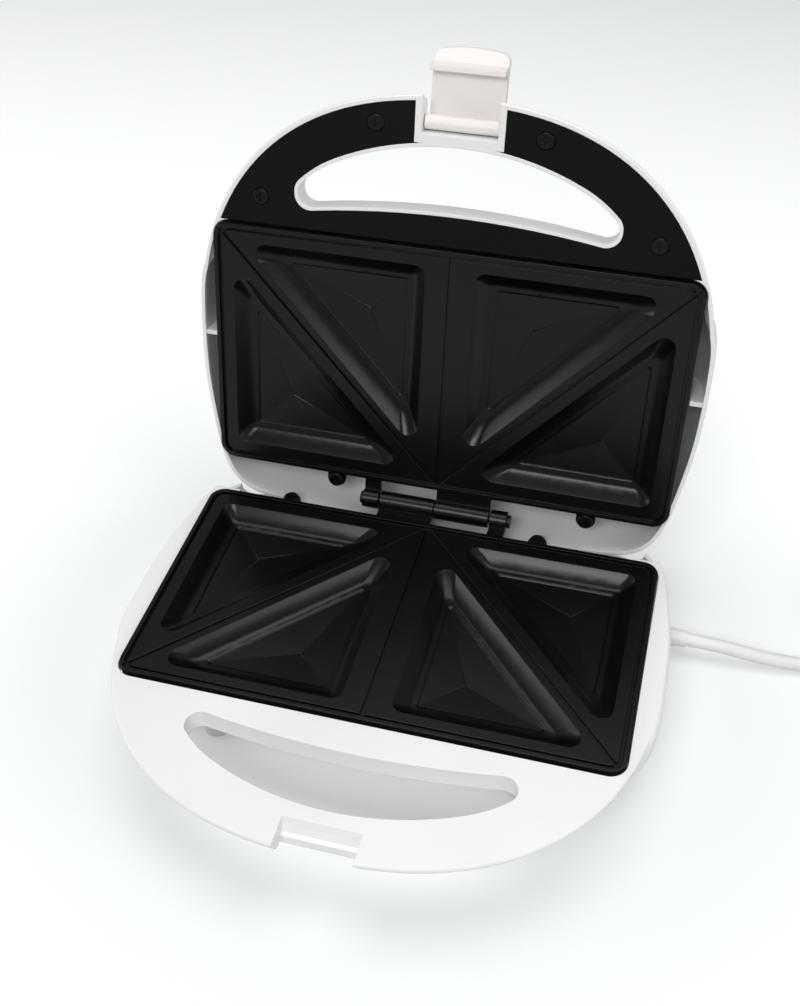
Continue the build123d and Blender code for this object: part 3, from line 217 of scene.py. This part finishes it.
SAME_POINT = 1e-7
PER_METRE = 500.0             # noise periods in a metre, times the size of a grain in mm
DRIFT_MM = 40.0               # size of the slow changes of colour and gloss
DRIFT_OF_ROUGHNESS = 0.02
GRAIN_STRENGTH = 0.25
NOISE_DETAIL = 2.0
NOISE_RANGE = {"From Min": 0.35, "From Max": 0.65}
EDGE_SAMPLES = 10


def body_of_node(name):
    """The CAD body that a node rides on."""
    bodies = frame["record"]["behaviour"]["bodies"]
    return next(body for body, nodes in bodies.items() if name in nodes)


def finished(name, material):
    """Merged copy of a CAD node that keeps its surface normals, and replaces the node."""
    mesh = frame["nodes"][name].data.copy()
    mesh.name = name + "_finished"
    normals = [corner.vector.copy() for corner in mesh.corner_normals]
    merged = bmesh.new()
    merged.from_mesh(mesh)
    bmesh.ops.remove_doubles(merged, verts=merged.verts, dist=SAME_POINT)
    merged.to_mesh(mesh)
    merged.free()
    if len(mesh.loops) == len(normals):
        mesh.normals_split_custom_set(normals)
    mesh.materials.clear()
    mesh.materials.append(material)
    made = link_object(name + "_finished", mesh)
    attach(made, body_of_node(name))
    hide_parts(name)
    return made


def surfaced(name, dark, light, roughness, grain_mm, depth_mm, edge_mm, look=None):
    """Material with a slow drift of colour and gloss, a fine grain and rounded edges."""
    material, tree, output = new_material(name)
    place = add(tree, "ShaderNodeTexCoord").outputs["Object"]
    drift, grain = [
        add(
            tree,
            "ShaderNodeTexNoise",
            inputs={"Vector": place, "Scale": PER_METRE / size_mm, "Detail": NOISE_DETAIL},
        ).outputs[0]
        for size_mm in (DRIFT_MM, grain_mm)
    ]
    spread = {"Value": drift, **NOISE_RANGE}
    share = add(tree, "ShaderNodeMapRange", inputs=spread)
    colour = add(
        tree,
        "ShaderNodeMix",
        {"data_type": "RGBA"},
        {0: share.outputs[0], 6: linear(dark), 7: linear(light)},
    )
    gloss = add(
        tree,
        "ShaderNodeMapRange",
        inputs={
            **spread,
            "To Min": roughness - DRIFT_OF_ROUGHNESS,
            "To Max": roughness + DRIFT_OF_ROUGHNESS,
        },
    )
    edge = add(
        tree, "ShaderNodeBevel", {"samples": EDGE_SAMPLES}, {"Radius": edge_mm / 1000}
    )
    bump = add(
        tree,
        "ShaderNodeBump",
        inputs={
            "Strength": GRAIN_STRENGTH,
            "Distance": depth_mm / 1000,
            "Height": grain,
            "Normal": edge.outputs[0],
        },
    )
    shader = add(
        tree,
        "ShaderNodeBsdfPrincipled",
        inputs={
            "Base Color": colour.outputs[2],
            "Roughness": gloss.outputs[0],
            "Normal": bump.outputs[0],
            **(look or {}),
        },
    )
    tree.links.new(shader.outputs[0], output.inputs["Surface"])
    return material


ABS = {"IOR": 1.53}

# ABS from a polished mould: smooth and glossy, with an almost invisible ripple.
housing_white = surfaced(
    "injection moulded white ABS", "#ECECEB", "#F2F2F1",
    roughness=0.24, grain_mm=0.7, depth_mm=0.002, edge_mm=0.5, look=ABS,
)
for name in ("base_shell", "lid_shell", "base_handle_cover"):
    finished(name, housing_white)


# ------------------------------------------------------------------ cooking plates
# Two die-cast aluminium plates from one mould, hinge barrel, ear and screw tabs cast on,
# sprayed with a semi-gloss black non-stick coating that shows a fine orange peel.

PLATE_REAR_Y = 0.056          # the plates' rear edge
PARTING_Z = 0.043             # the plane in which the shut housings meet

# Sprayed and baked non-stick paint: near black, semi-gloss, fine orange peel.
coated = surfaced(
    "sprayed black non-stick coating", "#040404", "#070707",
    roughness=0.27, grain_mm=0.9, depth_mm=0.02, edge_mm=0.4, look={"Specular IOR Level": 0.3},
)
for name in ("lower_plate", "upper_plate"):
    finished(name, coated)

POCKET_LEGS = (0.0865, 0.0940)
POCKET_CORNERS = (            # right-angled corner, and the way that its legs run
    (0.0116, -0.1144, 1),
    (0.1030, -0.0098, -1),
)
CREASE_REACH = 0.50           # share of the way from a pocket's middle to its corners
MIDDLE_DEPTH = 0.0081         # from the parting plane
FOOT_DEPTH = 0.0075
WALL_WIDTH = 0.0094           # of a pocket's sloping wall, seen from above
CREASE_WIDTH = 0.0009
CREASE_HEIGHT = 0.00032
OPENED = Matrix.Rotation(math.radians(-101.06), 4, "X")   # lid from shut to rest
HINGE_AXIS = Vector((0.0, 0.0669, 0.043))


def crease_points(side, corner_x, corner_y, toward):
    """The middle of a pocket's floor and the ends of its three creases."""
    leg_x, leg_y = POCKET_LEGS
    inradius = (leg_x + leg_y - math.hypot(leg_x, leg_y)) / 2
    outline = [(0, 0), (leg_x, 0), (0, leg_y)]
    share = CREASE_REACH * (1 - WALL_WIDTH / inradius)
    depth = MIDDLE_DEPTH + (FOOT_DEPTH - MIDDLE_DEPTH) * CREASE_REACH
    for x, y in outline:
        local = (inradius + (x - inradius) * share, inradius + (y - inradius) * share)
        start = (inradius, inradius, MIDDLE_DEPTH)
        for px, py, pz in (start, (*local, depth)):
            across = side * (corner_x + toward * px)
            back = corner_y + toward * py + PLATE_REAR_Y
            yield Vector((across, back, PARTING_Z - pz))


def creases(name, on_lid):
    """Fine raised lines that run from the middle of each pocket's floor towards its corners."""
    corners, faces = [], []
    for side in (-1, 1):
        for corner in POCKET_CORNERS:
            ends = list(crease_points(side, *corner))
            for start, end in zip(ends[::2], ends[1::2]):
                across = (end - start).cross(Vector((0, 0, 1))).normalized() * CREASE_WIDTH / 2
                lift = Vector((0, 0, CREASE_HEIGHT))
                first = len(corners)
                corners += [start - across, start + lift, start + across, end]
                faces += [(first, first + 3, first + 1), (first + 1, first + 3, first + 2)]
    if on_lid:
        mirrored = [Vector((-c.x, c.y, 2 * PARTING_Z - c.z)) for c in corners]
        corners = [OPENED @ (c - HINGE_AXIS) + HINGE_AXIS for c in mirrored]
    mesh = bpy.data.meshes.new(name)
    mesh.from_pydata([tuple(c) for c in corners], [], faces)
    mesh.materials.append(coated)
    made = link_object(name, mesh)
    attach(made, "lid" if on_lid else "base")


creases("lower_pocket_creases", False)
creases("upper_pocket_creases", True)


# ------------------------------------------------------------------ lid corner webs
# Where the upper handle runs into the dome, a thin web of the housing closes the corner on
# either side, outside the plate's rounded corner.

# Rows of (x, y, height above the parting plane) in mm, lid shut: inner, middle, outer edge.
WEB_ROWS = [
    ((107.2, -124.2, 10.7), (108.9, -124.2, 9.2), (110.0, -124.2, 7.1)),
    ((107.3, -123.0, 11.1), (109.3, -123.0, 9.3), (110.3, -123.0, 6.5)),
    ((108.0, -121.5, 11.2), (110.5, -121.5, 9.3), (111.8, -121.5, 5.3)),
    ((108.4, -120.0, 11.3), (111.7, -120.0, 9.1), (113.1, -120.0, 4.3)),
    ((109.0, -118.5, 11.3), (112.5, -118.5, 9.1), (113.6, -118.5, 4.6)),
    ((109.2, -117.0, 11.3), (112.95, -117.0, 9.1), (114.1, -117.0, 4.2)),
    ((110.1, -115.0, 11.2), (113.2, -115.0, 9.1), (114.3, -115.0, 4.9)),
    ((111.1, -113.0, 11.2), (113.3, -113.0, 9.2), (114.4, -113.0, 5.8)),
    ((111.6, -111.0, 12.0), (113.3, -111.0, 9.8), (114.4, -111.0, 6.9)),
    ((111.9, -109.0, 14.2), (113.3, -109.0, 11.4), (114.3, -109.0, 8.2)),
]

for name, side in (("lid_corner_web_left", -1), ("lid_corner_web_right", 1)):
    shut = [
        Vector((side * x / 1000, y / 1000 + PLATE_REAR_Y, PARTING_Z + z / 1000))
        for row in WEB_ROWS
        for x, y, z in row
    ]
    corners = [OPENED @ (c - HINGE_AXIS) + HINGE_AXIS for c in shut]
    faces = [
        (3 * k + i, 3 * k + i + 1, 3 * k + i + 4, 3 * k + i + 3)[:: side]
        for k in range(len(WEB_ROWS) - 1)
        for i in range(2)
    ]
    mesh = bpy.data.meshes.new(name)
    mesh.from_pydata([tuple(c) for c in corners], [], faces)
    mesh.polygons.foreach_set("use_smooth", [True] * len(faces))
    mesh.materials.append(housing_white)
    made = link_object(name, mesh)
    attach(made, "lid")


# ------------------------------------------------------------------ handle trim
# Matte black cover on the inner face of the upper handle, fine spark-eroded texture, held
# by four black screws in countersunk seats. The hinge pin has the screws' black finish.

# ABS from a spark eroded mould: matt, almost no reflection.
trim_black = surfaced(
    "spark eroded black ABS", "#0A0A0A", "#0E0E0E",
    roughness=0.5, grain_mm=0.5, depth_mm=0.03, edge_mm=0.4, look={"Specular IOR Level": 0.12},
)
finished("lid_handle_trim", trim_black)

# Screws and pin blackened in a hot salt bath: dark, slightly shiny.
black_oxide = surfaced(
    "black oxide steel", "#060606", "#0C0C0C",
    roughness=0.35, grain_mm=0.4, depth_mm=0.01, edge_mm=0.15, look={"Specular IOR Level": 0.25},
)
for name in ("lid_trim_screws", "lower_plate_screws", "upper_plate_screws", "hinge_pin"):
    finished(name, black_oxide)


# ------------------------------------------------------------------ latch
# A hooked bar with a thumb lip, moulded in a slightly warmer white than the housings. It
# turns on a plain steel rod across the bay in the upper handle.

# ABS of another batch: satin where the housings are glossy, and a warmer white.
latch_white = surfaced(
    "injection moulded warm white ABS", "#EAE4E1", "#EFE9E6",
    roughness=0.4, grain_mm=0.7, depth_mm=0.002, edge_mm=0.6, look=ABS,
)
finished("latch", latch_white)

METAL = {"Metallic": 1.0}

# Cold drawn rod: bright, with faint streaks.
bright_steel = surfaced(
    "drawn bright steel", "#B9BBBD", "#D5D7D8",
    roughness=0.25, grain_mm=0.8, depth_mm=0.01, edge_mm=0.1, look=METAL,
)
finished("latch_pin", bright_steel)


# ------------------------------------------------------------------ inner metalwork
# Sheet metal, heaters and screws inside the housings, with the marks of rolling and heat.
# A reflector lies between each heater and its housing.

for name in (
    "base_cover_screws",
    "lower_heater_clamps",
    "upper_heater_clamps",
    "lower_clamp_screws",
    "upper_clamp_screws",
    "cord_clamp_screws",
    "thermostat",
):
    finished(name, bright_steel)

# Rolled sheet: soft mirror, mill lines.
bright_sheet = surfaced(
    "rolled aluminium sheet", "#C4C6C8", "#DCDDDD",
    roughness=0.3, grain_mm=3.0, depth_mm=0.01, edge_mm=0.1, look=METAL,
)
for name in ("lower_reflector", "upper_reflector"):
    finished(name, bright_sheet)

# Tube that has been red hot: brown-grey oxide, dull.
heated_sheath = surfaced(
    "heat darkened steel sheath", "#4A4440", "#6B645E",
    roughness=0.45, grain_mm=2.0, depth_mm=0.01, edge_mm=0.1, look=METAL,
)
for name in ("lower_heater", "upper_heater"):
    finished(name, heated_sheath)


# ------------------------------------------------------------------ wiring inside
# Terminal block, cord clamp, fuse sleeve, leads and lamp board in plain moulded insulator,
# on the floor of the base and under the bridge of the upper handle.

# Mica-filled phenolic and glass sleeving: matt cream.
insulator = surfaced(
    "moulded insulator", "#CFC9BA", "#D9D4C6",
    roughness=0.5, grain_mm=0.5, depth_mm=0.02, edge_mm=0.2,
)
for name in ("terminal_block", "cord_clamp", "thermal_fuse", "inner_leads", "lamp_board"):
    finished(name, insulator)


# ------------------------------------------------------------------ indicator lamps
# Two small clear coloured lenses in the top of the upper handle's bridge, one red and one
# green, pressed in from the inside.

# Clear coloured polycarbonate from a polished mould: glossy, with depth.
LENS = {"Transmission Weight": 0.45, "IOR": 1.58}

for name, dark, light in (("red", "#AE120E", "#B81410"), ("green", "#1C8632", "#208E37")):
    clear = surfaced(
        f"clear {name} polycarbonate", dark, light,
        roughness=0.08, grain_mm=1.2, depth_mm=0.01, edge_mm=0.2, look=LENS,
    )
    finished("lamp_lens_" + name, clear)


# ------------------------------------------------------------------ foot pads
# Grey rubber discs pressed into the recesses of the four feet, on which the toaster
# stands.

# Vulcanised rubber: matt grey.
pad_rubber = surfaced(
    "grey moulded rubber", "#8B8D8D", "#979999",
    roughness=0.7, grain_mm=0.4, depth_mm=0.05, edge_mm=0.3,
)
finished("foot_pads", pad_rubber)


# ------------------------------------------------------------------ mains cord
# Round white PVC lead, out of the right side near the back in a tapered sleeve, falling to
# the table. The length that the photograph doesn't show lies coiled outside its view.

CORD_DIAMETER = 0.0065
CORD_ROUTE = [
    (0.131, -0.0140, -0.0330),
    (0.146, -0.0140, -0.0330),
    (0.162, -0.0136, -0.0358),
    (0.180, -0.0122, -0.0384),
    (0.200, -0.0092, -0.0389),
    (0.216, -0.0070, -0.0388),
    (0.230, -0.0070, -0.0388),
]
COIL_CENTRE_X = 0.2365
COIL_OUTER = 0.0396
COIL_PITCH = 0.0072
COIL_LOWER_HALF_TURNS = 4
COIL_UPPER_RADII = [0.0224, 0.0292, 0.0328, 0.0364]
COIL_POINTS_PER_HALF_TURN = 9
CORNER_ALLOWANCE = 1.009      # control points stand this far outside the turns they draw
PLUG_START_X = COIL_CENTRE_X + 0.032
COIL_END_X = COIL_CENTRE_X + 0.004
PLUG_LEAD = 0.010             # straight length in front of the plug

# Soft PVC jacket drawn through a die: smooth, half matt.
white_pvc = surfaced(
    "extruded white PVC", "#E6E6E4", "#EDEDEB",
    roughness=0.38, grain_mm=0.8, depth_mm=0.01, edge_mm=0.2,
)

points = list(CORD_ROUTE)
low = CORD_ROUTE[-1][2]
centre_y = CORD_ROUTE[-1][1] + COIL_OUTER
radii = [COIL_OUTER - k * COIL_PITCH / 2 for k in range(COIL_LOWER_HALF_TURNS + 1)]
heights = [low] * (COIL_LOWER_HALF_TURNS + 1)
radii += COIL_UPPER_RADII
heights += [low + COIL_PITCH] * len(COIL_UPPER_RADII)
for k, (r0, r1, z0, z1) in enumerate(zip(radii, radii[1:], heights, heights[1:])):
    side = 1 if k % 2 == 0 else -1
    middle_y = centre_y + side * (r1 - r0) / 2
    radius = (r0 + r1) / 2 * CORNER_ALLOWANCE
    for i in range(COIL_POINTS_PER_HALF_TURN):
        angle = math.pi * (i + 0.5) / COIL_POINTS_PER_HALF_TURN
        rise = (1 - math.cos(angle)) / 2
        points.append(
            (
                COIL_CENTRE_X + side * radius * math.sin(angle),
                middle_y - side * radius * math.cos(angle),
                z0 + (z1 - z0) * rise,
            )
        )
last_y = centre_y - radii[-1]
for x in (COIL_END_X, PLUG_START_X - PLUG_LEAD, PLUG_START_X):
    points.append((x, last_y, heights[-1]))

curve = bpy.data.curves.new("mains_cord", "CURVE")
curve.dimensions = "3D"
curve.bevel_depth = CORD_DIAMETER / 2
curve.bevel_resolution = 6
curve.resolution_u = 10
curve.use_fill_caps = True
spline = curve.splines.new("NURBS")
spline.points.add(len(points) - 1)
for slot, (x, y, z) in zip(spline.points, points):
    slot.co = (x, y + PLATE_REAR_Y, z + PARTING_Z, 1.0)
spline.order_u = 3
spline.use_endpoint_u = True
curve.materials.append(white_pvc)
mains_cord = link_object("mains_cord", curve)
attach(mains_cord, "base")
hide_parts("power_cord", "cord_coil")

sleeve = finished("strain_relief", white_pvc)
plug = finished("plug_body", white_pvc)
tail = finished("cord_inner_end", white_pvc)

# Plated over turned brass: bright, faintly yellow.
nickel = surfaced(
    "nickel plated brass", "#C9C4B4", "#DAD6C8",
    roughness=0.2, grain_mm=0.8, depth_mm=0.005, edge_mm=0.1, look=METAL,
)
pins = finished("plug_pins", nickel)

# Blown film strip: waxy white.
band_white = surfaced(
    "thin polyethylene band", "#DCDCDA", "#E4E4E2",
    roughness=0.45, grain_mm=0.6, depth_mm=0.01, edge_mm=0.2,
)
band = finished("cord_tie", band_white)
